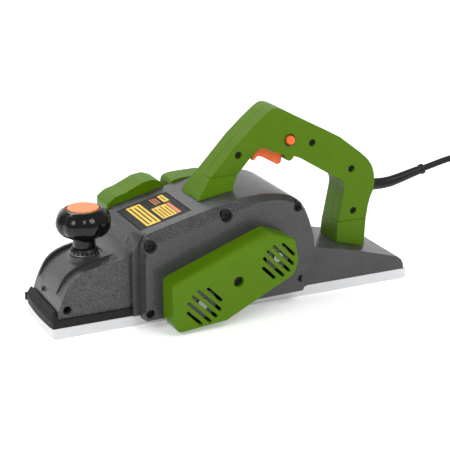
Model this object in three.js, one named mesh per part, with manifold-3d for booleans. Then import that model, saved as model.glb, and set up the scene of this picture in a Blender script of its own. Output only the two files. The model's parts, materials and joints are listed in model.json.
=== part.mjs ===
// Hand-held electric planer: cast housing, adjustable front shoe with depth knob,
// belt-driven cutter drum, motor, bow handle with trigger, and a mains lead.
// Millimetres, +Z up, +X towards the rear, -Y towards the belt side.
// Working frame: x = 0 at the front corners of the shoe, y = 0 on the sole's centre plane,
// z = 0 on the sole plane. The group is shifted along X at the end so that its origin is
// the bottom centre of the object without its lead.
import * as THREE from 'three';
import { mergeVertices } from 'three/addons/utils/BufferGeometryUtils.js';
import Module from 'manifold-3d';

const wasm = await Module();
wasm.setup();

// ---------------------------------------------------------------- driving dimensions
const SOLE_W = 84, HW = SOLE_W / 2;      // width of both soles
const SOLE_L = 404;                      // overall length of the sole line
const SOLE_T = 11.2;                     // thickness of both soles
const DEPTH = 3;                         // travel of the front shoe
const GAP = 0.3;                         // clearance between touching pieces
const BOW = 2.2;                         // bow of the shoe's front edge
const CUT_X = 143.7, CUT_Z = 28.3;       // cutter axis
const CUT_R = 26.8, KNIFE_R = 28.1;      // drum body and knife tip radius
const MOT_X = 227, MOT_Z = 65;           // motor axis
const BODY_Y0 = -45, BODY_Y1 = 48;       // housing side planes
const COVER_Y = -60;                     // outer face of the side cover
const BELT_Y = -86.8;                    // outer face of the belt cover
const FAR_Y = 86.8;                      // outlet face of the chip chute
const NOSE_HW = 39.5;                    // half width of the nose
const KNOB_X = 50;                       // depth knob axis
const KNOB_R = 28.5;                     // largest radius of the knob
const PULLEY_CUT = 15.5, PULLEY_MOT = 13; // pulley radii, ratio 15.5 : 13
const GRIP_HW = 17;                      // half width of the handle
const FOOT_HW = 22.75, HEEL_HW = 18.5;   // half width of its front and rear feet
const CORD_D = 7;                        // lead diameter
const COIL_X = 660, COIL_Y = -21.5;      // centre of the stored coil
const COIL_R = 42;                       // middle radius of its turns
const COIL_H = 28;                       // height of the stacked turns

// ---------------------------------------------------------------- solid helpers
function solid(geo) {
  const g = geo.clone();
  g.deleteAttribute('normal');
  g.deleteAttribute('uv');
  const m = mergeVertices(g, 1e-4);
  const p = m.attributes.position.array;
  const idx = [];
  const src = m.index.array;
  for (let i = 0; i < src.length; i += 3) {
    const [a, b, c] = [src[i], src[i + 1], src[i + 2]];
    if (a !== b && b !== c && a !== c) idx.push(a, b, c);
  }
  let vol = 0;
  for (let i = 0; i < idx.length; i += 3) {
    const [a, b, c] = [idx[i] * 3, idx[i + 1] * 3, idx[i + 2] * 3];
    vol += p[a] * (p[b + 1] * p[c + 2] - p[b + 2] * p[c + 1])
      - p[a + 1] * (p[b] * p[c + 2] - p[b + 2] * p[c])
      + p[a + 2] * (p[b] * p[c + 1] - p[b + 1] * p[c]);
  }
  if (vol < 0) for (let i = 0; i < idx.length; i += 3) [idx[i], idx[i + 1]] = [idx[i + 1], idx[i]];
  return new wasm.Manifold(new wasm.Mesh({
    numProp: 3, vertProperties: new Float32Array(p), triVerts: new Uint32Array(idx),
  }));
}
function geometry(man) {
  const m = man.getMesh();
  const g = new THREE.BufferGeometry();
  g.setAttribute('position', new THREE.BufferAttribute(new Float32Array(m.vertProperties), 3));
  g.setIndex(new THREE.BufferAttribute(new Uint32Array(m.triVerts), 1));
  g.computeVertexNormals();
  return g;
}
const cut = (a, ...bs) => bs.reduce((s, b) => s.subtract(b), a);
const join = (a, ...bs) => bs.reduce((s, b) => s.add(b), a);

function shapeOf(pts, holes = []) {
  const s = new THREE.Shape(pts.map(([a, b]) => new THREE.Vector2(a, b)));
  for (const h of holes) s.holes.push(new THREE.Path(h.map(([a, b]) => new THREE.Vector2(a, b))));
  return s;
}
// outline in XZ, extruded along Y
function prismY(pts, y0, y1, holes) {
  const g = new THREE.ExtrudeGeometry(shapeOf(pts, holes), { depth: y1 - y0, bevelEnabled: false });
  g.rotateX(Math.PI / 2);
  g.translate(0, y1, 0);
  return solid(g);
}
// outline in XY, extruded along Z
function prismZ(pts, z0, z1, holes) {
  const g = new THREE.ExtrudeGeometry(shapeOf(pts, holes), { depth: z1 - z0, bevelEnabled: false });
  g.translate(0, 0, z0);
  return solid(g);
}
// outline in YZ, extruded along X
function prismX(pts, x0, x1) {
  const g = new THREE.ExtrudeGeometry(shapeOf(pts), { depth: x1 - x0, bevelEnabled: false });
  g.rotateY(Math.PI / 2);
  g.rotateX(Math.PI / 2);
  g.translate(x0, 0, 0);
  return solid(g);
}
const box = (x0, x1, y0, y1, z0, z1) => solid(
  new THREE.BoxGeometry(x1 - x0, y1 - y0, z1 - z0).translate((x0 + x1) / 2, (y0 + y1) / 2, (z0 + z1) / 2));
const cylY = (x, z, r, y0, y1, n = 32) => solid(
  new THREE.CylinderGeometry(r, r, y1 - y0, n).translate(x, (y0 + y1) / 2, z));
const cylZ = (x, y, r, z0, z1, n = 32) => solid(
  new THREE.CylinderGeometry(r, r, z1 - z0, n).rotateX(Math.PI / 2).translate(x, y, (z0 + z1) / 2));
const cylX = (y, z, r, x0, x1, n = 24) => solid(
  new THREE.CylinderGeometry(r, r, x1 - x0, n).rotateZ(Math.PI / 2).translate((x0 + x1) / 2, y, z));
// profile [radius, height] turned about an axis
const latheY = (x, z, prof, n = 32) => solid(
  new THREE.LatheGeometry(prof.map(([r, h]) => new THREE.Vector2(r, h)), n).translate(x, 0, z));
const latheZ = (x, y, prof, n = 32) => solid(
  new THREE.LatheGeometry(prof.map(([r, h]) => new THREE.Vector2(r, h)), n).rotateX(Math.PI / 2).translate(x, y, 0));
const ringY = (x, z, ri, ro, y0, y1, n = 32) => latheY(x, z, [[ri, y0], [ro, y0], [ro, y1], [ri, y1], [ri, y0]], n);
const ringZ = (x, y, ri, ro, z0, z1, n = 32) => latheZ(x, y, [[ri, z0], [ro, z0], [ro, z1], [ri, z1], [ri, z0]], n);

// closed solid through sections with equal point counts; each point is [x, y, z]
function loft(sections) {
  const n = sections[0].length, pos = [], idx = [];
  for (const s of sections) for (const p of s) pos.push(...p);
  for (let s = 0; s + 1 < sections.length; s++) for (let i = 0; i < n; i++) {
    const a = s * n + i, b = s * n + (i + 1) % n, c = a + n, d = b + n;
    idx.push(a, b, d, a, d, c);
  }
  const cap = (s, flip) => {
    const pts = sections[s].map((p) => new THREE.Vector3(...p));
    const nrm = new THREE.Vector3();
    for (let i = 0; i < n; i++) nrm.add(new THREE.Vector3().crossVectors(pts[i], pts[(i + 1) % n]));
    nrm.normalize();
    const u = Math.abs(nrm.z) < 0.9 ? new THREE.Vector3(0, 0, 1).cross(nrm).normalize() : new THREE.Vector3(1, 0, 0);
    const v = new THREE.Vector3().crossVectors(nrm, u);
    const flat = pts.map((p) => new THREE.Vector2(p.dot(u), p.dot(v)));
    const tris = THREE.ShapeUtils.triangulateShape(flat, []);
    if (tris.length === n - 2) {
      for (const [a, b, c] of tris) {
        if (flip) idx.push(s * n + a, s * n + c, s * n + b); else idx.push(s * n + a, s * n + b, s * n + c);
      }
      return;
    }
    const mid = pts.reduce((m, p) => m.addScaledVector(p, 1 / n), new THREE.Vector3());
    const k = pos.length / 3;
    pos.push(mid.x, mid.y, mid.z);
    for (let i = 0; i < n; i++) {
      const a = s * n + i, b = s * n + (i + 1) % n;
      if (flip) idx.push(k, b, a); else idx.push(k, a, b);
    }
  };
  cap(0, true);
  cap(sections.length - 1, false);
  const g = new THREE.BufferGeometry();
  g.setAttribute('position', new THREE.Float32BufferAttribute(pos, 3));
  g.setIndex(idx);
  return solid(g);
}
// rounds the corners of a closed outline
function rounded(pts, r, steps = 3) {
  const out = [];
  const n = pts.length;
  for (let i = 0; i < n; i++) {
    const [px, pz] = pts[(i + n - 1) % n], [x, z] = pts[i], [nx, nz] = pts[(i + 1) % n];
    const rad = Array.isArray(r) ? r[i] : r;
    const a = new THREE.Vector2(px - x, pz - z), b = new THREE.Vector2(nx - x, nz - z);
    const la = a.length(), lb = b.length();
    a.normalize(); b.normalize();
    const ang = Math.acos(Math.min(1, Math.max(-1, a.dot(b))));
    const t = Math.min(rad / Math.tan(ang / 2), la * 0.48, lb * 0.48);
    if (rad <= 0 || ang > Math.PI - 0.05) { out.push([x, z]); continue; }
    const p0 = [x + a.x * t, z + a.y * t], p1 = [x + b.x * t, z + b.y * t];
    for (let k = 0; k <= steps; k++) {
      const s = k / steps, q = 1 - s;
      out.push([q * q * p0[0] + 2 * q * s * x + s * s * p1[0], q * q * p0[1] + 2 * q * s * z + s * s * p1[1]]);
    }
  }
  return out;
}
// moves every edge of a closed outline inwards by d
function inset(pts, d) {
  const n = pts.length;
  let area = 0;
  for (let i = 0; i < n; i++) area += pts[i][0] * pts[(i + 1) % n][1] - pts[(i + 1) % n][0] * pts[i][1];
  const sg = area > 0 ? 1 : -1;
  const out = [];
  for (let i = 0; i < n; i++) {
    const p = pts[(i + n - 1) % n], q = pts[i], r = pts[(i + 1) % n];
    const e1 = new THREE.Vector2(q[0] - p[0], q[1] - p[1]).normalize();
    const e2 = new THREE.Vector2(r[0] - q[0], r[1] - q[1]).normalize();
    const n1 = new THREE.Vector2(-e1.y, e1.x).multiplyScalar(sg);
    const n2 = new THREE.Vector2(-e2.y, e2.x).multiplyScalar(sg);
    const m = n1.clone().add(n2).normalize();
    const k = d / Math.max(0.35, m.dot(n1));
    out.push([q[0] + m.x * k, q[1] + m.y * k]);
  }
  return out;
}
// outline moved inwards by d with its corners rounded to suit
const shrunk = (raw, rad, d, steps) => rounded(inset(raw, d), rad.map((r) => Math.max(0.5, r - d)), steps);
const atY = (pts, y) => pts.map(([x, z]) => [x, y, z]);
// round bar along a path of [x, y, z, radius]
function bar(path, n = 12) {
  const pts = path.map((p) => new THREE.Vector3(p[0], p[1], p[2]));
  return loft(path.map((p, i) => {
    const t = new THREE.Vector3().subVectors(pts[Math.min(i + 1, pts.length - 1)], pts[Math.max(i - 1, 0)]).normalize();
    const u = new THREE.Vector3(0, 1, 0).cross(t).normalize();
    const v = new THREE.Vector3().crossVectors(t, u);
    return Array.from({ length: n }, (_, k) => {
      const a = 2 * Math.PI * k / n;
      const q = pts[i].clone().addScaledVector(u, p[3] * Math.cos(a)).addScaledVector(v, p[3] * Math.sin(a));
      return [q.x, q.y, q.z];
    });
  }));
}

// ---------------------------------------------------------------- materials
const MAT = {
  hammertone: [0x58585a, 0.45, 0.35], green: [0x5f7d12, 0.4, 0], orange: [0xf07a3e, 0.35, 0],
  alloy: [0xd8d8d6, 0.35, 0.9], black: [0x151515, 0.5, 0], gloss_black: [0x0b0b0b, 0.15, 0],
  skirt: [0x262625, 0.55, 0], steel: [0x9a9a9c, 0.35, 0.9], belt: [0x111111, 0.8, 0],
  copper: [0xb06a3a, 0.4, 0.9], label: [0x2a2a2c, 0.5, 0], cord: [0x121212, 0.6, 0],
};
const root = new THREE.Group();
function add(name, man, mat) {
  const [color, roughness, metalness] = MAT[mat];
  const mesh = new THREE.Mesh(geometry(man), new THREE.MeshStandardMaterial({ color, roughness, metalness }));
  mesh.name = name;
  root.add(mesh);
}

// ---------------------------------------------------------------- outlines of the housing
const topLine = (x) => 98.3 + (13 / 53.3) * (x - 97.7); // sloping top in front of the handle
const TOP = [[97.7, 98.3], [151, 111.3], [165, 114.3], [185, 118.2], [202, 120.6], [216, 121.5], [230, 121.6],
  [241, 120.6], [252.7, 118], [262, 113.8], [268, 109], [273, 102], [277, 94], [280.5, 84], [283, 72], [283.5, 62]];
const MID = [[84, 15], [84, 74.5], [86.5, 80], [91, 90], [94, 95.5], ...TOP, [282.5, 52], [280, 43], [280, 11.6],
  [168, 11.6], [164, 15]];
const NOSE = [[6.2, 15], [6.4, 20], [7.8, 28], [10.2, 35], [13.4, 42.5], [17, 49.5], [21, 55.5], [26, 60],
  [32, 63.4], [40, 66.5], [50, 68.6], [62, 70.4], [75, 72.4], [90, 75.3], [90, 15]];
const DECK = [[270, 11.6], [270, 54], [289.6, 53.4], [345.8, 40.2], [392.7, 26.6], [398, 22.2], [400.6, 17],
  [401, 11.6]];

// side cover: edge against the housing, and outer face
const COVER_IN = [[91, 10], [90.5, 45], [91, 79], [92, 88], [95, 95.5], [98.5, 98.5], [125, 105], [151, 111.3],
  [165, 114.3], [175, 116.3], [192, 119.2], [204, 120.8], [216, 121.5], [230, 121.6], [241, 120.6], [250, 118.8],
  [257, 116.4], [264, 112.4], [269.5, 107.4], [274.5, 99.5], [279, 89], [282.2, 77], [283.5, 64], [282.3, 52],
  [278.5, 41.5], [271.5, 32.5], [270, 24], [272.6, 17.4], [270, 13.8], [216, 12]];
const COVER_OUT = [[92.4, 10.6], [92, 45], [92.5, 77], [95, 83.5], [100, 88.4], [106, 91.3], [129, 95.6],
  [150.6, 100.8], [163, 104], [173.5, 107], [192.2, 112.4], [203, 115.6], [214.4, 117.8], [227.9, 118.6],
  [239.2, 117.5], [247, 115.6], [254.2, 112.4], [261, 107.8], [266.5, 102], [271.5, 94.2], [275.8, 84],
  [279, 73], [280.2, 62.5], [279, 52], [275.4, 42.2], [268.6, 33], [267, 24.6], [269.4, 17.6], [267.6, 14.4],
  [216, 12.6]];
const COVER_SCREWS = [[98.1, 88.2, 6.5], [180.1, 108.4, 6.5], [260.6, 107.4, 5.4], [96.6, 17.6, 4.6], [265.6, 28.4, 4.2]];

// ---------------------------------------------------------------- main housing
{
  let body = join(prismY(MID, BODY_Y0, BODY_Y1), prismY(NOSE, -NOSE_HW, NOSE_HW), prismY(DECK, -HW, HW));
  // side walls reach down past the shoe and the cutter
  body = join(body, box(84, 170, BODY_Y0, -42.6, 11.6, 24), box(84, 170, 42.6, BODY_Y1, 11.6, 24));
  body = join(body, cylZ(KNOB_X, 0, 17.5, 60, 70.3, 32));
  body = cut(body, cylZ(KNOB_X, 0, 18, 70.3, 80, 32));
  // shallow flutes over the nose on both sides of its middle ridge
  for (const s of [-1, 1]) {
    const yA = s > 0 ? 20 : -36, yB = s > 0 ? 36 : -20;
    const low = [[11.5, 38], [14.8, 42.2], [18.8, 48.4], [23.2, 53.6], [28, 57.4], [34, 60.6], [42, 63.6], [51, 65.5],
      [63, 67.5], [75, 69.6], [90, 72.4]];
    body = cut(body, prismY([...low, [90, 90], [-10, 90], [-10, 38]], yA, yB));
  }
  // spring bore, spindle bore and two lightening pockets in the nose
  const pocket = [[15, 14], [17, 30], [23, 44], [30, 52], [42, 57.5], [60, 61.5], [78, 63.5], [78, 14]];
  let pockets = join(prismY(pocket, -34, -4), prismY(pocket, 4, 34));
  pockets = cut(pockets, cylZ(KNOB_X, 0, 13, 10, 70, 28), cylY(16.8, 28, 8.5, -40, -22, 20));
  body = cut(body, pockets, cylZ(KNOB_X, 0, 5.4, 10, 80, 20), cylZ(KNOB_X, 0, 9.8, 10, 31, 24));
  // seat for the edge guide's clamping bolt
  body = cut(body, cylY(16.8, 28, 4.5, -41, -27, 20));
  // notches for the rear ends of the skirt
  body = cut(body, box(80, 91, -43, -39.3, 10, 24), box(80, 91, 39.3, 43, 10, 24));
  // cutter chamber, open downwards, with its shaft and bearing holes
  body = cut(body, cylY(CUT_X, CUT_Z, 31, -41.5, 42, 40), cylY(CUT_X, CUT_Z, 9, -46, -41, 20),
    cylY(CUT_X, CUT_Z, 13.1, 41, 49, 28));
  // chip duct from the cutter chamber to the far side
  body = cut(body, box(97, 150, 8, 49, 62, 93), box(116, 150, 8, 46, 44, 63));
  // motor chamber
  body = cut(body, cylY(MOT_X, MOT_Z, 47, -41, 44, 44), cylY(MOT_X, MOT_Z, 12, -46, -40, 24),
    cylY(MOT_X, MOT_Z, 40, 43, 49, 40));
  // wells beside the motor chamber and above the cutter chamber
  body = cut(body, box(183, 273, -40, 43, 19, 60), box(97, 184, -40, 3, 65, 91));
  // cooling slots through the rear wall below the dome
  for (const y of [-24, -12, 0, 12, 24]) body = cut(body, box(262, 290, y - 2, y + 2, 57, 75));
  // pockets under the rear deck
  const tail = [[292, 11], [292, 46], [345, 33.6], [388, 21.4], [392, 11]];
  body = cut(body, prismY(tail, -37, -3), prismY(tail, 3, 37));
  // recess of the rating plate
  body = cut(body, prismY([[96.9, topLine(96.9) - 1.3], [152.1, topLine(152.1) - 1.3], [152.1, topLine(152.1) + 6],
    [96.9, topLine(96.9) + 6]], -36, 31));
  for (const [x, z] of COVER_SCREWS) body = cut(body, cylY(x, z, 2.4, -46, -42, 12));
  add('main_body', body, 'hammertone');
}

// ---------------------------------------------------------------- side cover and its screws
{
  let cov = loft([atY(COVER_IN, -45 - GAP), atY(COVER_IN, -49), atY(COVER_OUT, COVER_Y)]);
  const inner = [[100, 18], [100, 80], [106, 84.5], [150, 93.5], [192, 105], [228, 111], [245, 108], [258, 98], [268, 84],
    [272.5, 62], [266, 44], [258, 32], [258, 22], [216, 19.5]];
  let pocket = prismY(inner, -54.5, -45);
  pocket = cut(pocket, cylY(CUT_X, CUT_Z, 19, -60, -40, 28), cylY(MOT_X, MOT_Z, 18, -60, -40, 28),
    cylY(180.8, 47.8, 6, -60, -40, 16));
  for (const [x, z, r] of COVER_SCREWS) pocket = cut(pocket, cylY(x, z, r + 3, -60, -40, 16));
  cov = cut(cov, pocket);
  cov = cut(cov, cylY(CUT_X, CUT_Z, 15.3, -56, -44, 28), cylY(CUT_X, CUT_Z, 8, -61, -44, 20),
    cylY(MOT_X, MOT_Z, 13.3, -54, -44, 28), cylY(MOT_X, MOT_Z, 7.5, -61, -44, 20), cylY(180.8, 47.8, 2.3, -61, -50, 12));
  for (const [x, z, r] of COVER_SCREWS) cov = cut(cov, cylY(x, z, r, -61, -52, 20), cylY(x, z, 2.4, -53, -44, 12));
  add('side_cover', cov, 'hammertone');
  COVER_SCREWS.forEach(([x, z, r], i) => {
    const hr = Math.min(r - 0.5, 4.4);
    let s = join(cylY(x, z, hr, -55.5, -52 - GAP, 14), cylY(x, z, 2.0, -53, -43, 8));
    s = cut(s, box(x - hr * 0.62, x + hr * 0.62, -57, -54.2, z - 0.55, z + 0.55), box(x - 0.55, x + 0.55, -57, -54.2, z - hr * 0.62, z + hr * 0.62));
    add('side_cover_screw_' + (i + 1), s, 'steel');
  });
}

// ---------------------------------------------------------------- belt cover, belt and pulleys
{
  const raw = [[109.8, 54.5], [216.5, 93.4], [244.4, 83], [248.2, 58.5], [242.6, 45], [168, 8], [116, 3.4], [110.2, 13.6]];
  const rad = [5, 7, 6, 7, 6, 7, 5, 5];
  const out = rounded(raw, rad, 2);
  let cov = loft([atY(out, COVER_Y - GAP), atY(out, BELT_Y + 2), atY(shrunk(raw, rad, 0.7, 2), BELT_Y + 0.6), atY(shrunk(raw, rad, 2, 2), BELT_Y)]);
  cov = cut(cov, prismY(shrunk(raw, rad, 2.3, 2), BELT_Y + 2.4, COVER_Y + 1));
  cov = join(cov, cylY(180.8, 47.8, 7.2, BELT_Y + 1, COVER_Y - GAP, 24));
  cov = cut(cov, cylY(180.8, 47.8, 5.6, BELT_Y - 1, -79, 24), cylY(180.8, 47.8, 2.4, -80, -55, 12));
  const slot = (cx, cz, off, half) => {
    const w = 1.7, pts = [];
    for (let k = 0; k <= 4; k++) { const a = -Math.PI / 2 + Math.PI * k / 4; pts.push([half + w * Math.cos(a), w * Math.sin(a)]); }
    for (let k = 0; k <= 4; k++) { const a = Math.PI / 2 + Math.PI * k / 4; pts.push([-half + w * Math.cos(a), w * Math.sin(a)]); }
    const c = Math.cos(-Math.PI / 4), s = Math.sin(-Math.PI / 4);
    return prismY(pts.map(([a, b]) => [cx + a * c - (b + off) * s, cz + a * s + (b + off) * c]), BELT_Y - 1, BELT_Y + 4);
  };
  for (const [cx, cz, R] of [[143.4, 27.8, 19.4], [225, 62.8, 18.6]])
    for (const off of [-15.4, -7.7, 0, 7.7, 15.4]) cov = cut(cov, slot(cx, cz, off, Math.sqrt(R * R - off * off) - 1.7));
  add('belt_cover', cov, 'green');
  let scr = join(cylY(180.8, 47.8, 4.7, -82.2, -79 - GAP, 20), cylY(180.8, 47.8, 2.0, -80, -55.5, 12));
  scr = cut(scr, box(177.8, 183.8, -84, -81.2, 47.2, 48.4), box(180.2, 181.4, -84, -81.2, 44.8, 50.8));
  add('belt_cover_screw', scr, 'steel');

  // closed belt around both pulleys
  const dx = MOT_X - CUT_X, dz = MOT_Z - CUT_Z, L = Math.hypot(dx, dz), th = Math.atan2(dz, dx);
  const loop = (ra, rb) => {
    const be = Math.acos((ra - rb) / L), pts = [];
    for (let k = 0; k <= 14; k++) { const a = th + be + (2 * Math.PI - 2 * be) * k / 14; pts.push([CUT_X + ra * Math.cos(a), CUT_Z + ra * Math.sin(a)]); }
    for (let k = 0; k <= 12; k++) { const a = th - be + 2 * be * k / 12; pts.push([MOT_X + rb * Math.cos(a), MOT_Z + rb * Math.sin(a)]); }
    return pts;
  };
  add('drive_belt', prismY(loop(PULLEY_CUT + 3.0, PULLEY_MOT + 3.0), -79, -69,
    [loop(PULLEY_CUT + 0.6, PULLEY_MOT + 0.6).reverse()]), 'belt');
}

// ---------------------------------------------------------------- cutter drum
{
  let drum = latheY(CUT_X, CUT_Z, [[0, -82], [6, -82], [6, -40.6], [CUT_R, -40.5], [CUT_R, 41], [6, 41.1], [6, 47.4], [0, 47.4]], 40);
  for (const s of [1, -1]) {
    // pocket for knife and wedge, opening towards +X and -X
    drum = cut(drum, s > 0 ? box(CUT_X + 14, CUT_X + 31, -42, 42.5, CUT_Z - 8, CUT_Z + 1.8)
      : box(CUT_X - 31, CUT_X - 14, -42, 42.5, CUT_Z - 1.8, CUT_Z + 8));
    const blade = s > 0 ? box(CUT_X + 15, CUT_X + KNIFE_R, -40.3, 40.8, CUT_Z - 1.4, CUT_Z + 1.4)
      : box(CUT_X - KNIFE_R, CUT_X - 15, -40.3, 40.8, CUT_Z - 1.4, CUT_Z + 1.4);
    add(s > 0 ? 'knife_1' : 'knife_2', blade, 'steel');
    let wedge = s > 0 ? box(CUT_X + 14.4, CUT_X + 24.4, -40.3, 40.8, CUT_Z - 7.6, CUT_Z - 1.8)
      : box(CUT_X - 24.4, CUT_X - 14.4, -40.3, 40.8, CUT_Z + 1.8, CUT_Z + 7.6);
    for (const y of [-28, 0, 28]) wedge = cut(wedge, cylX(y, CUT_Z - s * 4.7, 2.2, s > 0 ? CUT_X + 19 : CUT_X - 30, s > 0 ? CUT_X + 30 : CUT_X - 19, 10));
    add(s > 0 ? 'knife_clamp_1' : 'knife_clamp_2', wedge, 'steel');
  }
  add('cutter_drum', drum, 'steel');
  add('cutter_pulley', ringY(CUT_X, CUT_Z, 6.3, PULLEY_CUT, -80.5, -67.5, 32), 'alloy');
  add('drum_bearing_left', ringY(CUT_X, CUT_Z, 6.3, 15, -55.6, -46, 28), 'steel');
  add('drum_bearing_right', ringY(CUT_X, CUT_Z, 6.3, 12.8, 42.4, 47.6, 28), 'steel');
  add('drum_bearing_cap', join(cylY(CUT_X, CUT_Z, 15.5, 48.3, 50.2, 28), cylY(CUT_X, CUT_Z, 10, 50, 51.6, 24)), 'black');
}

// ---------------------------------------------------------------- motor
{
  add('armature_shaft', latheY(MOT_X, MOT_Z, [[0, -82], [5, -82], [5, 73], [0, 73]], 24), 'steel');
  add('motor_pulley', ringY(MOT_X, MOT_Z, 5.3, PULLEY_MOT, -80.5, -67.5, 28), 'alloy');
  let core = ringY(MOT_X, MOT_Z, 5.3, 25, -18, 28, 24);
  for (let k = 0; k < 8; k++) {
    const a = Math.PI * 2 * k / 8;
    core = cut(core, box(-1.4, 1.4, -19, 29, 16, 26).rotate([0, a * 180 / Math.PI, 0]).translate([MOT_X, 0, MOT_Z]));
  }
  add('armature_core', core, 'copper');
  add('commutator', ringY(MOT_X, MOT_Z, 5.3, 12, 36, 48, 24), 'copper');
  let fan = ringY(MOT_X, MOT_Z, 5.3, 10, -36, -23, 20);
  fan = join(fan, ringY(MOT_X, MOT_Z, 9, 38, -36, -34.2, 28));
  for (let k = 0; k < 10; k++) {
    fan = join(fan, box(-0.8, 0.8, -34.6, -24, 9, 36).rotate([0, k * 36, 0]).translate([MOT_X, 0, MOT_Z]));
  }
  add('cooling_fan', fan, 'black');
  add('stator', ringY(MOT_X, MOT_Z, 28.5, 46.6, -18, 28, 36), 'steel');
  add('motor_bearing_left', ringY(MOT_X, MOT_Z, 5.3, 13, -53.6, -46, 24), 'steel');
  add('motor_bearing_right', ringY(MOT_X, MOT_Z, 5.3, 11, 62, 69, 24), 'steel');
  add('brush_holder_front', box(MOT_X - 46, MOT_X - 13, 37.5, 43.6, MOT_Z - 5, MOT_Z + 5), 'copper');
  add('brush_holder_rear', box(MOT_X + 13, MOT_X + 46, 37.5, 43.6, MOT_Z - 5, MOT_Z + 5), 'copper');
}

// ---------------------------------------------------------------- far side: motor end cover and chip chute
{
  const circ = (r, n = 36) => Array.from({ length: n }, (_, k) => [MOT_X + r * Math.cos(2 * Math.PI * k / n), MOT_Z + r * Math.sin(2 * Math.PI * k / n)]);
  const noseRaw = [[163.4, 58], [163.6, 117.2], [178, 119], [205, 119.4], [222, 114.5], [240, 100], [240, 40], [190, 34]];
  const noseRad = [8, 9, 6, 10, 8, 4, 4, 8];
  const nose = rounded(noseRaw, noseRad, 3);
  let cov = join(loft([atY(circ(46), 48.3), atY(circ(46), 75), atY(circ(43.4), 78)]),
    loft([atY(nose, 48.3), atY(nose, 74.6), atY(shrunk(noseRaw, noseRad, 2.6, 3), 77.6)]));
  cov = cut(cov, prismY(circ(43.2), 47, 74.8), prismY(shrunk(noseRaw, noseRad, 2.8, 3), 47, 74.4));
  cov = join(cov, ringY(MOT_X, MOT_Z, 11.3, 14.5, 60, 76, 24));
  for (const z of [42, 50, 58, 72, 80, 88]) cov = cut(cov, box(MOT_X - 22, MOT_X + 22, 74, 80, z - 1.6, z + 1.6).subtract(cylY(MOT_X, MOT_Z, 16, 73, 81, 20)));
  const bolts = [[176, 104], [253, 39]];
  for (const [x, z] of bolts) {
    cov = join(cov, cylY(x, z, 5.6, 48.3, 76, 18));
    cov = cut(cov, cylY(x, z, 2.3, 47, 80, 12), cylY(x, z, 4.1, 70, 80, 18));
  }
  add('motor_end_cover', cov, 'green');
  bolts.forEach(([x, z], i) => {
    let s = join(cylY(x, z, 3.7, 70.3, 73, 18), cylY(x, z, 1.9, 48.6, 71, 12));
    s = cut(s, box(x - 2.4, x + 2.4, 72.2, 74, z - 0.5, z + 0.5), box(x - 0.5, x + 0.5, 72.2, 74, z - 2.4, z + 2.4));
    add('end_cover_screw_' + (i + 1), s, 'steel');
  });

  const humpRaw = [[92.6, 60], [93, 100.5], [103, 107.5], [114, 110.6], [134, 119.6], [145, 121.2], [153.5, 118], [158.4, 110], [158.4, 60]];
  const humpRad = [4, 6, 8, 8, 10, 10, 8, 6, 4];
  const hump = (d) => (d > 0 ? shrunk(humpRaw, humpRad, d, 3) : rounded(humpRaw, humpRad, 3));
  let chute = loft([atY(hump(0), 48.3), atY(hump(0), 76), atY(hump(1.2), 83), atY(hump(2.6), FAR_Y)]);
  // mounting flange against the housing
  chute = join(chute, prismY(rounded([[90.6, 56], [90.6, 97], [160.6, 97], [160.6, 56]], 4, 2), 48.3, 51));
  chute = cut(chute, loft([atY(hump(2.8), 50.8), atY(hump(2.8), 76), atY(hump(4.0), 83), atY(hump(5.4), FAR_Y + 1)]),
    box(97.4, 149.6, 47, 52, 63, 92.6));
  add('chip_chute', chute, 'green');
}

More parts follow.
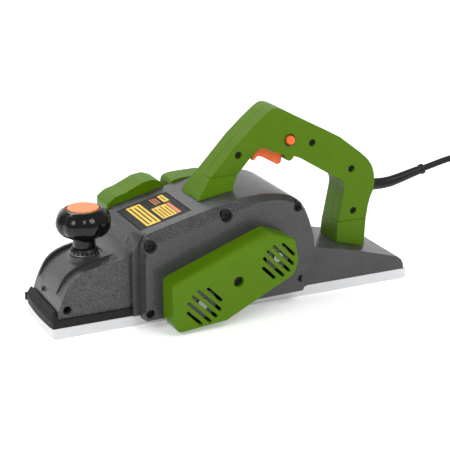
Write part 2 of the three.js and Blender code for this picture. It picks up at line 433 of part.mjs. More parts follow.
// ---------------------------------------------------------------- soles
{
  const plan = [];
  for (let k = 0; k <= 12; k++) {
    const y = -HW + SOLE_W * k / 12;
    const q = Math.abs(y) / HW;
    plan.push([-BOW * (1 - q * q) + (q > 0.999 ? 0.8 : 0), y]);
  }
  const shoePlan = [[127, -HW], ...plan, [127, HW]];
  let shoe = prismZ(shoePlan, 0, SOLE_T);
  shoe = cut(shoe, prismY([[132, -2], [132, 13], [113.4, 13], [129.1, -2]], -50, 50));
  shoe = cut(shoe, prismY([[-8, -1], [7.5, -1], [3.2, 0.35], [-0.4, 1.9], [-3.4, 4.4], [-8, 8]], -50, 50));
  shoe = cut(shoe, prismX([[-2.6, -1], [2.6, -1], [0, 2.2]], -10, 130));
  shoe = join(shoe, cylZ(KNOB_X, 0, 8.8, 10, 25.5, 24));
  shoe = cut(shoe, cylZ(KNOB_X, 0, 5.2, 9, 30, 20));
  add('front_shoe', shoe, 'alloy');

  const inPlan = [[5.6, -40.1], [5.6, 40.1], [95, 40.1], [95, -40.1]];
  const outPlan = [[88.5, -HW], ...plan, [3, 45.6], [40, 45.6], [44, HW], [88.5, HW]];
  outPlan.splice(outPlan.length - 4, 0, [-0.8, 45.2]);
  let skirt = prismZ(outPlan, SOLE_T + GAP, 19.6);
  skirt = cut(skirt, prismZ(inPlan, 10, 30));
  // sloped lip along the front, running out at the belt-side corner
  const lip = (y, x0, zt, xt) => atY([[x0, 19.2], [5.6, 19.2], [5.6 + (zt - 19.2) * 0.13, zt - 0.2], [xt, zt]], y);
  skirt = join(skirt, loft([lip(-41.9, -0.2, 19.9, 0.6), lip(-33, -1.2, 26.4, 4.6), lip(30, -0.9, 26.6, 4.6), lip(42.5, 0.3, 26, 4.8)]));
  add('shoe_skirt', skirt, 'skirt');

  let rear = box(150, SOLE_L, -HW, HW, 0, SOLE_T);
  rear = cut(rear, prismY([[148, -2], [155, -2], [169.5, 13], [148, 13]], -50, 50));
  rear = cut(rear, prismY([[SOLE_L - 3, -1], [SOLE_L + 2, -1], [SOLE_L + 2, 3.6]], -50, 50));
  for (const x of [200, 378]) rear = cut(rear, latheZ(x, 0, [[0, -1], [5, -1], [5, 1.2], [2.4, 4], [2.4, 13], [0, 13]], 16));
  add('rear_sole', rear, 'alloy');
  [200, 378].forEach((x, i) => {
    let s = latheZ(x, 0, [[0, 0.8], [4.6, 0.8], [4.6, 1.3], [2.0, 3.9], [2.0, 11], [0, 11]], 16);
    s = cut(s, box(x - 2.6, x + 2.6, -0.5, 0.5, 0, 1.8), box(x - 0.5, x + 0.5, -2.6, 2.6, 0, 1.8));
    add('rear_sole_screw_' + (i + 1), s, 'steel');
  });
}

// ---------------------------------------------------------------- rating plate
add('rating_plate', prismY([[97.7, topLine(97.7) - 1.0], [151.3, topLine(151.3) - 1.0], [151.3, topLine(151.3) - 0.1],
  [97.7, topLine(97.7) - 0.1]], -35.3, 30.3), 'label');

// ---------------------------------------------------------------- depth knob
{
  const prof = [[11.5, 77.3], [11.5, 85.6], [12.4, 87.2], [17, 88.6], [22.4, 91.2], [26.4, 95.4], [KNOB_R, 102], [27.7, 108.4],
    [24.6, 113.4], [20.6, 116.6], [18, 117.8]];
  const n = 40, lobes = 8;
  const sec = prof.map(([r, z], i) => Array.from({ length: n }, (_, k) => {
    const a = 2 * Math.PI * k / n;
    const w = Math.max(0, Math.min(1, (r - 13) / 14));
    const rr = r - w * 1.5 * (0.5 - 0.5 * Math.cos(lobes * a));
    return [KNOB_X + rr * Math.cos(a), rr * Math.sin(a), z];
  }));
  let knob = loft(sec);
  knob = cut(knob, cylZ(KNOB_X, 0, 16.4, 115, 120, 36), cylZ(KNOB_X, 0, 5.1, 76, 104, 20));
  add('depth_knob', knob, 'gloss_black');
  add('knob_cap', latheZ(KNOB_X, 0, [[0, 115.3], [16.1, 115.3], [16.1, 118.2], [15.4, 118.8], [0, 119.4]], 36), 'orange');
  add('depth_scale_ring', latheZ(KNOB_X, 0, [[5.2, 72.2], [14.5, 72.2], [14.5, 74.4], [12.6, 77], [5.2, 77], [5.2, 72.2]], 36), 'black');
  add('depth_spindle', join(cylZ(KNOB_X, 0, 4.8, 14.6, 103.6, 20), cylZ(KNOB_X, 0, 9.2, 28.9, 30.7, 20)), 'steel');
  add('knob_washer', ringZ(KNOB_X, 0, 5.3, 15.2, 70.6, 71.9, 32), 'steel');
}

// ---------------------------------------------------------------- handle
const ARCH = [
  [165, 114.7], [172.5, 125], [181, 135.6], [198, 153.8], [214.6, 171.4], [232, 186.8], [245, 197.2], [250.5, 200.8], [255.5, 201.8],
  [261.5, 199.9], [271.5, 194.7], [295, 181.5], [319, 168.9], [331.4, 162.1], [343.9, 152.2], [356.4, 142.6], [365.5, 134.6],
  [371.4, 127], [374.8, 117.5], [376, 106], [374.6, 97], [371.2, 91], [368.6, 80], [366.6, 66.4], [365, 52], [363.6, 35.4],
  [345.8, 40.6], [331, 44.1], [332, 66.4], [335.4, 85], [338.6, 101], [339, 108], [335.4, 114.1], [321.8, 121.4], [303, 133],
  [284.2, 144.8], [277, 147.6], [275.6, 144.6], [271.6, 143], [267.8, 144.8], [266.8, 149.4], [250, 156.8], [240, 161], [235.2, 159.4], [225, 150],
  [214.8, 138.8], [210.4, 134.4], [206.6, 128.8], [204.4, 121.2], [202, 121], [185, 118.6]];
// corners of that outline are eased, except where it meets the feet, the lug and the flat runs
const ARCH_R = ARCH.map(([x, z], i) => (i < 3 || i > 47 || z < 60 ? 0 : (x > 264 && x < 280 && z < 152 ? 1.5 : 30)));
const HANDLE_SCREWS = [[213, 156.2], [298.6, 159.4], [346.7, 124.9], [350.5, 77.4]];
{
  const grip = prismY(rounded(ARCH, ARCH_R, 2), -GRIP_HW, GRIP_HW);
  const hollow = [[209, 146], [216, 158], [224, 166.5], [240, 179.5], [252, 188], [257, 188], [275, 178.5], [300, 164.6],
    [325, 152.4], [341, 140.6], [356, 128.4], [364, 118], [365.5, 104], [350, 100], [346.5, 112], [340, 119.4], [326, 127.5], [306, 139.6],
    [288, 150.6], [278, 154.6], [262, 157.5], [250, 163], [240, 166.4], [231, 162.6], [221, 152.6], [212, 142.6]];
  let cavity = prismY(hollow, -13.8, 13.8);
  for (const [x, z] of HANDLE_SCREWS) cavity = cut(cavity, cylY(x, z, 6.2, -17, 17, 20));
  let shell = cut(grip, cavity);
  shell = cut(shell, box(234.6, 268.2, -10.7, 10.7, 148, 172));
  shell = cut(shell, cylY(272, 165.7, 5.3, -18, -12, 24));
  shell = cut(shell, cylX(0, 98.4, 6.7, 352, 380, 24));
  for (const [x, z] of HANDLE_SCREWS) shell = cut(shell, cylY(x, z, 4, -18, -11.5, 20), cylY(x, z, 1.9, -12, 11, 12));
  // left half ends at a seam above each foot
  const leftSpace = join(box(150, 280, -30, -0.15, 136, 220), box(280, 400, -30, -0.15, 67, 220), box(279, 281, -30, -0.15, 136, 220));
  add('handle_left', shell.intersect(leftSpace), 'green');
  const rightSpace = box(150, 400, 0.15, 30, 20, 220);
  // flared front foot
  const ring = (pts, hy) => [...pts.map(([x, z]) => [x, -hy, z]), ...[...pts].reverse().map(([x, z]) => [x, hy, z])];
  const frontFoot = loft([
    ring([[164.9, 113], [185, 117], [202, 119.5], [204.4, 119.7]], FOOT_HW),
    ring([[168, 119], [186, 121.6], [203, 123], [205, 123.8]], FOOT_HW - 0.9),
    ring([[181, 135.6], [190, 135.7], [204, 135.7], [211.6, 135.7]], GRIP_HW)]);
  const heel = loft([
    ring([[330, 42.5], [345.8, 39], [355, 36.3], [364, 33.6]], HEEL_HW),
    ring([[331, 60], [345.8, 59], [355, 58.6], [365.6, 58.4]], HEEL_HW - 0.8),
    ring([[332, 66.6], [345.8, 66.6], [355, 66.6], [366.6, 66.6]], GRIP_HW)]);
  let right = join(shell.intersect(rightSpace), frontFoot, heel);
  const lifted = (pts) => pts.map(([x, z]) => [x, z + 0.4]);
  right = cut(right, cylY(350.5, 77.4, 1.9, -12, 11, 12), prismY(lifted(MID), -40, 40), prismY(lifted(DECK), -40, 40));
  add('handle_right', right, 'green');
  HANDLE_SCREWS.forEach(([x, z], i) => {
    let s = join(cylY(x, z, 3.6, -14.2, -11.5 - GAP, 14), cylY(x, z, 1.6, -12, 10.4, 8));
    s = cut(s, box(x - 2.3, x + 2.3, -15, -13.3, z - 0.45, z + 0.45), box(x - 0.45, x + 0.45, -15, -13.3, z - 2.3, z + 2.3));
    add('handle_screw_' + (i + 1), s, 'steel');
  });
  add('trigger', prismY(rounded([[230.6, 148.4], [233.6, 145.6], [238.6, 150.2], [243.6, 149], [261.4, 138.6], [265.6, 139.6],
    [267.4, 151], [266.4, 160], [244, 168], [238.4, 164.4], [237.8, 156.6]], [1.5, 1.5, 1, 3, 3, 2, 1, 2, 2, 2, 1], 2), -10.1, 10.1), 'orange');
  add('lock_button', latheY(272, 165.7, [[0, -20.8], [3.6, -20.8], [4.8, -19.8], [4.9, -17], [4.9, -8], [0, -8]], 24), 'orange');
  add('switch_body', box(246, 264.5, -8, 8, 171, 181.5), 'black');
}

// ---------------------------------------------------------------- strain relief, lead and plug
{
  const relief = [[366, 0, 98.4, 6.2], [376.4, 0, 98.2, 6.2], [377, 0, 98.2, 7.6], [381, 0, 98.1, 7.6], [381.8, 0, 98.1, 6.3], [396, 0, 97.6, 6.1],
    [406, 0, 98.2, 5.9], [418.7, 0, 100.9, 5.5], [432, 0, 104.2, 5.1], [444, 0, 106.9, 4.8], [444.6, 0, 107.05, 5.8], [448, 0, 107.8, 5.8]];
  // slides through the shells' opening; the collar sits outside it
  relief[2][0] = 377.2;
  add('strain_relief', bar(relief, 16), 'black');

  const rt = [[448.3, 0, 107.87], [460, 0, 110.4], [470, 0, 112.6], [483, 0, 114.9], [498, 0, 116], [512, 0.6, 114.2], [525, 1.8, 108.8],
    [537, 3.6, 99.4], [547, 6, 86.6], [555, 8.8, 71.4], [562, 12, 54.6], [569.5, 15.4, 38.6], [579, 18.8, 24.6], [590.5, 21.6, 13.4],
    [604, 23.4, 6.6], [618, 24, 3.9], [632, 24, 3.5]];
  // the floor stretch runs tangentially into the coil
  const pts = rt.map((p) => new THREE.Vector3(...p));
  const curve = new THREE.CatmullRomCurve3(pts, false, 'centripetal');
  const sec = new THREE.Shape(Array.from({ length: 10 }, (_, k) => new THREE.Vector2((CORD_D / 2) * Math.cos(2 * Math.PI * k / 10), (CORD_D / 2) * Math.sin(2 * Math.PI * k / 10))));
  const g = new THREE.ExtrudeGeometry(sec, { steps: 24, extrudePath: curve, bevelEnabled: false });
  add('cord_tube', solid(g), 'cord');
  const cx = COIL_X;
  add('cord_coil', ringZ(cx, COIL_Y, COIL_R - 7.3, COIL_R + 7.3, 0, COIL_H + 0.2, 36), 'cord');

  // plug lying on the floor, its lead leaving the coil tangentially
  const py = COIL_Y - (COIL_R + 3.5), px = cx - 30;
  add('plug_body', join(
    loft([[px, 5.2, 5.2], [px - 18, 6, 5.6], [px - 23, 10, 7.2], [px - 30, 17, 8.6], [px - 50, 17.6, 8.6], [px - 55, 15.5, 7.6]].map(([x, hy, hz]) =>
      Array.from({ length: 20 }, (_, k) => {
        const a = 2 * Math.PI * k / 20, c = Math.cos(a), s = Math.sin(a);
        const e = 0.7;
        return [x, py + hy * Math.sign(c) * Math.abs(c) ** e, 8.7 + hz * Math.sign(s) * Math.abs(s) ** e];
      })))), 'black');
  add('plug_pin_1', cylX(py - 9.5, 8.7, 2.4, px - 74.5, px - 55.3, 14), 'steel');
  add('plug_pin_2', cylX(py + 9.5, 8.7, 2.4, px - 74.5, px - 55.3, 14), 'steel');
}

// ---------------------------------------------------------------- origin: bottom centre without the lead
const X_MIN = -BOW, X_MAX = SOLE_L;
root.position.set(-(X_MIN + X_MAX) / 2, 0, 0);
root.updateMatrixWorld(true);

export default root;
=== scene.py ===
import bpy, bmesh, math, json
import numpy as np
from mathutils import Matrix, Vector


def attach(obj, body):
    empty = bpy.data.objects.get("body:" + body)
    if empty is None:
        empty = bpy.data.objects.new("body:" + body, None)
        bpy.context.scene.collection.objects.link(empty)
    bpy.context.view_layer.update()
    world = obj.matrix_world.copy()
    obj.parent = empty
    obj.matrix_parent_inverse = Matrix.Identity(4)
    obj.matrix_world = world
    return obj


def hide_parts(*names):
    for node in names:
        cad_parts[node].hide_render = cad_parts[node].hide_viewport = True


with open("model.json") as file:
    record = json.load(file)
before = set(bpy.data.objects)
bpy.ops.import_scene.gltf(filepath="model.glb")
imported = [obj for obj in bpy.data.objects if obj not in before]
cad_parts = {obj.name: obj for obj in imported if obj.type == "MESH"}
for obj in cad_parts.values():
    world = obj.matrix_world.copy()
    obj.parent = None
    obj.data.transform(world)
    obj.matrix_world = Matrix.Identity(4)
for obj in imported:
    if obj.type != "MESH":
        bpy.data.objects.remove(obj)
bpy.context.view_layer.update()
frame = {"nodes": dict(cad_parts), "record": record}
NODES = frame["nodes"]
REC = frame["record"]
BODY = {n: b for b, ns in REC["behaviour"]["bodies"].items() for n in ns}
scene = bpy.context.scene
XC = 200.9


def P(x, y, z):
    return Vector(((x - XC) / 1000, y / 1000, z / 1000))


def link(name, me):
    o = bpy.data.objects.new(name, me)
    scene.collection.objects.link(o)
    return o


# ------------------------------------------------------------ camera
cd = bpy.data.cameras.new("camera")
cam = link("camera", cd)
cam.location = P(-379.0, -1256.6, 558.9)
cam.rotation_euler = (P(205.85, 0, 76.74) - cam.location).to_track_quat("-Z", "Y").to_euler()
cd.sensor_width, cd.lens, cd.clip_start, cd.clip_end = 36, 111.99, 0.05, 50
scene.camera = cam


# ------------------------------------------------------------ materials
def lin(rgb):
    out = []
    for c in rgb:
        c = c / 255
        out.append(c / 12.92 if c <= 0.04045 else ((c + 0.055) / 1.055) ** 2.4)
    return out


def material(name, rgb, rough, metal=0.0, var=0.08, cells=90, grain=1400, bump=0.25, depth=0.00006, rvar=0.08,
             speck=0.0, coat=0.0, brushed=None, spec=0.5):
    m = bpy.data.materials.new(name)
    m.use_nodes = True
    nt = m.node_tree
    N, L = nt.nodes, nt.links
    bs = N["Principled BSDF"]
    bs.inputs["Metallic"].default_value = metal
    bs.inputs["Specular IOR Level"].default_value = spec
    if coat:
        bs.inputs["Coat Weight"].default_value = coat
        bs.inputs["Coat Roughness"].default_value = 0.12
    tc = N.new("ShaderNodeTexCoord")
    src = tc.outputs["Object"]
    if brushed:
        mp = N.new("ShaderNodeMapping")
        mp.inputs["Scale"].default_value = brushed
        L.new(src, mp.inputs["Vector"])
        fine_src = mp.outputs["Vector"]
    else:
        fine_src = src
    broad = N.new("ShaderNodeTexNoise")
    broad.inputs["Scale"].default_value = cells
    broad.inputs["Detail"].default_value = 4
    L.new(src, broad.inputs["Vector"])
    fine = N.new("ShaderNodeTexNoise")
    fine.inputs["Scale"].default_value = grain
    fine.inputs["Detail"].default_value = 3
    L.new(fine_src, fine.inputs["Vector"])
    base = lin(rgb)
    ramp = N.new("ShaderNodeValToRGB")
    ramp.color_ramp.elements[0].position, ramp.color_ramp.elements[1].position = 0.3, 0.7
    ramp.color_ramp.elements[0].color = [c * (1 - var) for c in base] + [1]
    ramp.color_ramp.elements[1].color = [min(1, c * (1 + var)) for c in base] + [1]
    L.new(broad.outputs["Fac"], ramp.inputs["Fac"])
    colour = ramp.outputs["Color"]
    if speck:
        sr = N.new("ShaderNodeValToRGB")
        sr.color_ramp.elements[0].position, sr.color_ramp.elements[1].position = 0.36, 0.64
        sr.color_ramp.elements[0].color = [1 - speck] * 3 + [1]
        sr.color_ramp.elements[1].color = [1 + speck] * 3 + [1]
        L.new(fine.outputs["Fac"], sr.inputs["Fac"])
        mx = N.new("ShaderNodeMix")
        mx.data_type, mx.blend_type = "RGBA", "MULTIPLY"
        mx.inputs["Factor"].default_value = 1
        L.new(colour, mx.inputs["A"])
        L.new(sr.outputs["Color"], mx.inputs["B"])
        colour = mx.outputs["Result"]
    L.new(colour, bs.inputs["Base Color"])
    rr = N.new("ShaderNodeMapRange")
    rr.inputs["To Min"].default_value = max(0.02, rough - rvar)
    rr.inputs["To Max"].default_value = rough + rvar
    L.new(broad.outputs["Fac"], rr.inputs["Value"])
    L.new(rr.outputs["Result"], bs.inputs["Roughness"])
    bp = N.new("ShaderNodeBump")
    bp.inputs["Strength"].default_value = bump
    bp.inputs["Distance"].default_value = depth
    L.new(fine.outputs["Fac"], bp.inputs["Height"])
    L.new(bp.outputs["Normal"], bs.inputs["Normal"])
    return m


M = {
    "hammertone": material("hammertone", (65, 65, 67), 0.36, 0.2, var=0.1, cells=60, grain=1000, bump=0.55, depth=0.0003,
                           speck=0.6, coat=0.3, spec=0.3),
    "green": material("green", (80, 116, 0), 0.42, spec=0.1, var=0.05, cells=45, grain=1800, bump=0.22, depth=0.00008, coat=0.08),
    "orange": material("orange", (244, 108, 48), 0.34, spec=0.3, var=0.1, cells=80, bump=0.12),
    "alloy": material("alloy", (214, 215, 217), 0.36, 0.55, var=0.03, cells=40, grain=500, bump=0.2, depth=0.00005,
                      brushed=(0.05, 3, 3)),
    "black": material("black", (15, 15, 16), 0.42, spec=0.3, var=0.15, cells=70, grain=1600, bump=0.25),
    "gloss_black": material("gloss_black", (5, 5, 6), 0.18, var=0.1, rvar=0.04, bump=0.06, coat=0.12, spec=0.3),
    "skirt": material("skirt", (24, 24, 22), 0.6, spec=0.25, var=0.12, cells=120, grain=1500, bump=0.3),
    "steel": material("steel", (150, 150, 152), 0.32, 0.9, var=0.1, cells=140, grain=900, bump=0.2),
    "belt": material("belt", (20, 20, 20), 0.75, var=0.15, cells=200, bump=0.4),
    "copper": material("copper", (176, 106, 60), 0.4, 0.85, var=0.12, cells=200, bump=0.3),
    "label": material("label", (20, 19, 20), 0.5, spec=0.15, var=0.12, cells=60, bump=0.08),
    "cord": material("cord", (15, 15, 16), 0.5, spec=0.3, var=0.12, cells=90, grain=1500, bump=0.2),
    "dark_screw": material("dark_screw", (20, 20, 21), 0.4, 0.5, var=0.15, cells=200, bump=0.2),
    # knob cap orange; its strong small-scale colour mottle paints glints into the colour (painted highlights)
    "cap": material("cap", (238, 140, 84), 0.34, spec=0.25, var=0.22, cells=260, grain=900, bump=0.15),
    # pulley steel made dark as painted shade: it stands in for the shade inside the belt cover, seen through its slots
    "pulley": material("pulley", (84, 84, 86), 0.4, 0.8, var=0.14, cells=160, grain=900, bump=0.2),
    "yellow": material("yellow", (232, 190, 30), 0.4, var=0.06, cells=80, bump=0.05),
    "amber": material("amber", (205, 120, 60), 0.4, var=0.08, cells=80, bump=0.05),
}


# ------------------------------------------------------------ lead
def catmull(pts, step=0.0045):
    out = []
    q = [pts[0] * 2 - pts[1]] + pts + [pts[-1] * 2 - pts[-2]]
    for i in range(1, len(q) - 2):
        p0, p1, p2, p3 = q[i - 1:i + 3]
        n = max(2, round((p2 - p1).length / step))
        t0, t1 = 0.0, (p1 - p0).length ** 0.5
        t2 = t1 + (p2 - p1).length ** 0.5
        t3 = t2 + (p3 - p2).length ** 0.5
        for k in range(n):
            t = t1 + (t2 - t1) * k / n
            a1 = p0 * ((t1 - t) / (t1 - t0)) + p1 * ((t - t0) / (t1 - t0))
            a2 = p1 * ((t2 - t) / (t2 - t1)) + p2 * ((t - t1) / (t2 - t1))
            a3 = p2 * ((t3 - t) / (t3 - t2)) + p3 * ((t - t2) / (t3 - t2))
            b1 = a1 * ((t2 - t) / (t2 - t0)) + a2 * ((t - t0) / (t2 - t0))
            b2 = a2 * ((t3 - t) / (t3 - t1)) + a3 * ((t - t1) / (t3 - t1))
            out.append(b1 * ((t2 - t) / (t2 - t1)) + b2 * ((t - t1) / (t2 - t1)))
    out.append(pts[-1])
    return out


ROUTE = [(446.5, 0, 107.4), (460, 0, 110.4), (470, 0, 112.6), (483, 0, 114.9), (498, 0, 116), (512, 0.6, 114.2),
         (525, 1.8, 108.8), (537, 3.6, 99.4), (547, 6, 86.6), (555, 8.8, 71.4), (562, 12, 54.6), (569.5, 15.4, 38.6),
         (579, 18.8, 24.6), (590.5, 21.6, 13.4), (604, 23.4, 6.6), (618, 24, 3.9), (632, 24, 3.55)]
CX, CY = 660, -21.5
pts = catmull([P(*p) for p in ROUTE])
pts += [P(x, 24, 3.5) for x in (638, 645, 652)]


def ease(s, a, b):
    t = min(1, max(0, (s - a) / (b - a)))
    return 0.5 - 0.5 * math.cos(math.pi * t)


s = 0
while s <= 2700:
    r = 45.5 - 7 * ease(s, 275, 355) + 7 * ease(s, 1667, 1747)
    z = 3.5 + 7 * (ease(s, 611, 691) + ease(s, 971, 1051) + ease(s, 1331, 1411)) - 7 * (ease(s, 2003, 2083) + ease(s, 2363, 2443))
    a = math.radians(s)
    pts.append(P(CX + r * math.sin(a), CY + r * math.cos(a), z))
    s += 10
pts += [P(653, -67, 10.4), P(646, -67, 10.1), (P(639, -67, 9.5)), P(633, -67, 9.0), P(627, -67, 8.75)]
cu = bpy.data.curves.new("lead", "CURVE")
cu.dimensions, cu.bevel_depth, cu.bevel_resolution, cu.use_fill_caps = "3D", 0.0035, 5, True
sp = cu.splines.new("POLY")
sp.points.add(len(pts) - 1)
for q, p in zip(sp.points, pts):
    q.co = (*p, 1)
sp.use_smooth = True
lead = link("lead", cu)
cu.materials.append(M["cord"])
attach(lead, "housing")
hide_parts("cord_tube", "cord_coil")


# ------------------------------------------------------------ refined copies of the CAD pieces
def joined(bm, extras):
    # the mesh with each extra solid joined to it
    me = bpy.data.meshes.new("tmp")
    bm.to_mesh(me)
    o = link("tmp", me)
    others = []
    for e in extras:
        oe = link("tmp_extra", e)
        others.append(oe)
        md = o.modifiers.new("join", "BOOLEAN")
        md.operation, md.solver, md.object = "UNION", "EXACT", oe
    ev = o.evaluated_get(bpy.context.evaluated_depsgraph_get())
    out = bmesh.new()
    out.from_mesh(ev.to_mesh())
    for x in [o] + others:
        data = x.data
        bpy.data.objects.remove(x)
        bpy.data.meshes.remove(data)
    bmesh.ops.remove_doubles(out, verts=out.verts, dist=3e-6)
    return out


def slab(prof, y0, y1):
    # closed prism of an XZ outline between two Y planes
    bm = bmesh.new()
    a = [bm.verts.new(P(x, y0, z)) for x, z in prof]
    b = [bm.verts.new(P(x, y1, z)) for x, z in prof]
    bm.faces.new(a)
    bm.faces.new(b[::-1])
    for i in range(len(prof)):
        j = (i + 1) % len(prof)
        bm.faces.new((a[i], b[i], b[j], a[j]))
    bmesh.ops.recalc_face_normals(bm, faces=bm.faces)
    bmesh.ops.triangulate(bm, faces=[f for f in bm.faces if len(f.verts) > 4])
    me = bpy.data.meshes.new("slab")
    bm.to_mesh(me)
    bm.free()
    return me


def settle(o, span=34.0):
    # applies the modifiers, then gives each corner the mean normal of the flat areas around it,
    # weighted by the whole area of each, so that flats stay flat and rounded edges turn between them
    ev = o.evaluated_get(bpy.context.evaluated_depsgraph_get())
    me = bpy.data.meshes.new_from_object(ev)
    o.modifiers.clear()
    old, o.data = o.data, me
    bpy.data.meshes.remove(old)
    nf, nl, nv = len(me.polygons), len(me.loops), len(me.vertices)
    nrm, area = np.zeros(nf * 3), np.zeros(nf)
    start, total = np.zeros(nf, int), np.zeros(nf, int)
    me.polygons.foreach_get("normal", nrm)
    me.polygons.foreach_get("area", area)
    me.polygons.foreach_get("loop_start", start)
    me.polygons.foreach_get("loop_total", total)
    lv, le = np.zeros(nl, int), np.zeros(nl, int)
    me.loops.foreach_get("vertex_index", lv)
    me.loops.foreach_get("edge_index", le)
    nrm = nrm.reshape(-1, 3)
    face = np.repeat(np.arange(nf), total)
    by_edge = np.argsort(le, kind="stable")
    e, f = le[by_edge], face[by_edge]
    same = e[1:] == e[:-1]
    f1, f2 = f[:-1][same], f[1:][same]
    flat = (nrm[f1] * nrm[f2]).sum(1) > math.cos(math.radians(0.5))
    root = list(range(nf))

    def find(i):
        while root[i] != i:
            root[i] = root[root[i]]
            i = root[i]
        return i

    for i, j in zip(f1[flat].tolist(), f2[flat].tolist()):
        i, j = find(i), find(j)
        if i != j:
            root[max(i, j)] = min(i, j)
    group = np.array([find(i) for i in range(nf)])
    ga, gn = np.bincount(group, area, nf), np.zeros((nf, 3))
    np.add.at(gn, group, nrm * area[:, None])
    gn /= np.maximum(np.linalg.norm(gn, axis=1), 1e-20)[:, None]
    pair = np.unique(lv.astype(np.int64) * nf + group[face])
    pv, pg = pair // nf, pair % nf
    first = np.searchsorted(pv, np.arange(nv))
    count = np.searchsorted(pv, np.arange(nv), side="right") - first
    n = count[lv]
    who = np.repeat(np.arange(nl), n)
    step = np.arange(n.sum()) - np.repeat(np.cumsum(n) - n, n)
    other = pg[first[lv][who] + step]
    mine = group[face][who]
    w = np.where((gn[mine] * gn[other]).sum(1) > math.cos(math.radians(span)), ga[other] ** 1.5, 0)
    out = np.zeros((nl, 3))
    np.add.at(out, who, gn[other] * w[:, None])
    out /= np.maximum(np.linalg.norm(out, axis=1), 1e-20)[:, None]
    bad = ~(np.abs(np.linalg.norm(out, axis=1) - 1) < 0.01)
    out[bad] = nrm[face[bad]]
    me.shade_smooth()
    me.normals_split_custom_set(out.tolist())


def refine(node, mat, width=0.5, seg=2, angle=30, dis=1.2, name=None, extras=()):
    src = NODES[node]
    bm = bmesh.new()
    bm.from_mesh(src.data)
    bmesh.ops.remove_doubles(bm, verts=bm.verts, dist=3e-6)
    if extras:
        bm = joined(bm, extras)
    bmesh.ops.dissolve_degenerate(bm, dist=2e-5, edges=bm.edges)
    if dis:
        bmesh.ops.dissolve_limit(bm, angle_limit=math.radians(dis), verts=bm.verts, edges=bm.edges)
    for f in bm.faces:
        f.smooth = True
    me = bpy.data.meshes.new(node + "_fine")
    bm.to_mesh(me)
    bm.free()
    for a in ("custom_normal",):
        if a in me.attributes:
            me.attributes.remove(me.attributes[a])
    me.materials.clear()
    me.materials.append(M[mat])
    for p in me.polygons:
        p.material_index = 0
    o = link(name or node + "_fine", me)
    bv = o.modifiers.new("bevel", "BEVEL")
    bv.width, bv.segments, bv.limit_method, bv.angle_limit = width / 1000, seg, "ANGLE", math.radians(angle)
    bv.miter_outer = "MITER_ARC"
    settle(o)
    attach(o, BODY[node])
    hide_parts(node)
    return o


FINE = {
    "main_body": ("hammertone", 1.2, 3), "side_cover": ("hammertone", 1.3, 3), "belt_cover": ("green", 0.45, 3),
    "handle_left": ("green", 1.8, 4), "handle_right": ("green", 1.8, 4), "motor_end_cover": ("green", 0.45, 3),
    "chip_chute": ("green", 0.45, 3), "front_shoe": ("alloy", 0.5, 2), "rear_sole": ("alloy", 0.5, 2),
    "shoe_skirt": ("skirt", 0.9, 3), "rating_plate": ("label", 0.25, 2), "knob_cap": ("cap", 0.4, 2),
    "trigger": ("orange", 1.0, 3), "lock_button": ("orange", 0.5, 2), "depth_scale_ring": ("black", 0.4, 2),
    "knob_washer": ("steel", 0.25, 2), "drum_bearing_cap": ("black", 0.4, 2), "plug_body": ("black", 0.8, 3),
    "strain_relief": ("black", 0.4, 2), "drive_belt": ("belt", 0.5, 2), "cutter_pulley": ("pulley", 0.5, 2),
    "motor_pulley": ("pulley", 0.5, 2), "cutter_drum": ("steel", 0.6, 2), "belt_cover_screw": ("dark_screw", 0.3, 2),
}
for i in range(1, 6):
    FINE[f"side_cover_screw_{i}"] = ("dark_screw", 0.25, 2)
for i in range(1, 5):
    FINE[f"handle_screw_{i}"] = ("dark_screw", 0.25, 2)
for i in (1, 2):
    FINE[f"end_cover_screw_{i}"] = ("dark_screw", 0.25, 2)
    FINE[f"rear_sole_screw_{i}"] = ("steel", 0.25, 2)
    FINE[f"plug_pin_{i}"] = ("steel", 0.4, 2)
    FINE[f"knife_{i}"] = ("steel", 0.25, 2)
    FINE[f"knife_clamp_{i}"] = ("steel", 0.4, 2)
# fairing between the nose and the block behind it, and the small stop on the nose's front
FAIR = [(66, 68), (70, 71.1), (75, 72.3), (80, 74), (84, 76.8), (87.3, 81), (89.8, 86), (91.6, 90.6), (96, 96), (96, 68)]
EXTRAS = {"main_body": [slab(FAIR, -39.2, 39.2), slab([(6.6, 31.6), (7.2, 34.6), (8.8, 36), (13, 36.6), (13, 31.6)], 12, 16.5)]}
SMOOTH = {"belt_cover", "motor_end_cover", "chip_chute"}
made = {n: refine(n, m, w, sg, angle=20 if n in SMOOTH else 30, dis=0 if n in SMOOTH else 1.2, extras=EXTRAS.get(n, ()))
        for n, (m, w, sg) in FINE.items()}


def plain(node, mat):
    o = NODES[node]
    o.data.materials.clear()
    o.data.materials.append(M[mat])


for n in ("drum_bearing_left", "drum_bearing_right", "stator", "motor_bearing_left", "motor_bearing_right", "armature_shaft",
          "depth_spindle"):
    plain(n, "steel")
for n in ("brush_holder_front", "brush_holder_rear", "armature_core", "commutator"):
    plain(n, "copper")
for n in ("switch_body", "cooling_fan"):
    plain(n, "black")


# ------------------------------------------------------------ depth knob, turned with eight soft lobes
def catmull1(vals, n):
    out = []
    q = [vals[0]] + vals + [vals[-1]]
    for i in range(1, len(q) - 2):
        for k in range(n):
            t = k / n
            out.append(tuple(0.5 * (2 * b + (c - a) * t + (2 * a - 5 * b + 4 * c - d) * t * t + (3 * b - a - 3 * c + d) * t ** 3)
                             for a, b, c, d in zip(q[i - 1], q[i], q[i + 1], q[i + 2])))
    out.append(vals[-1])
    return out


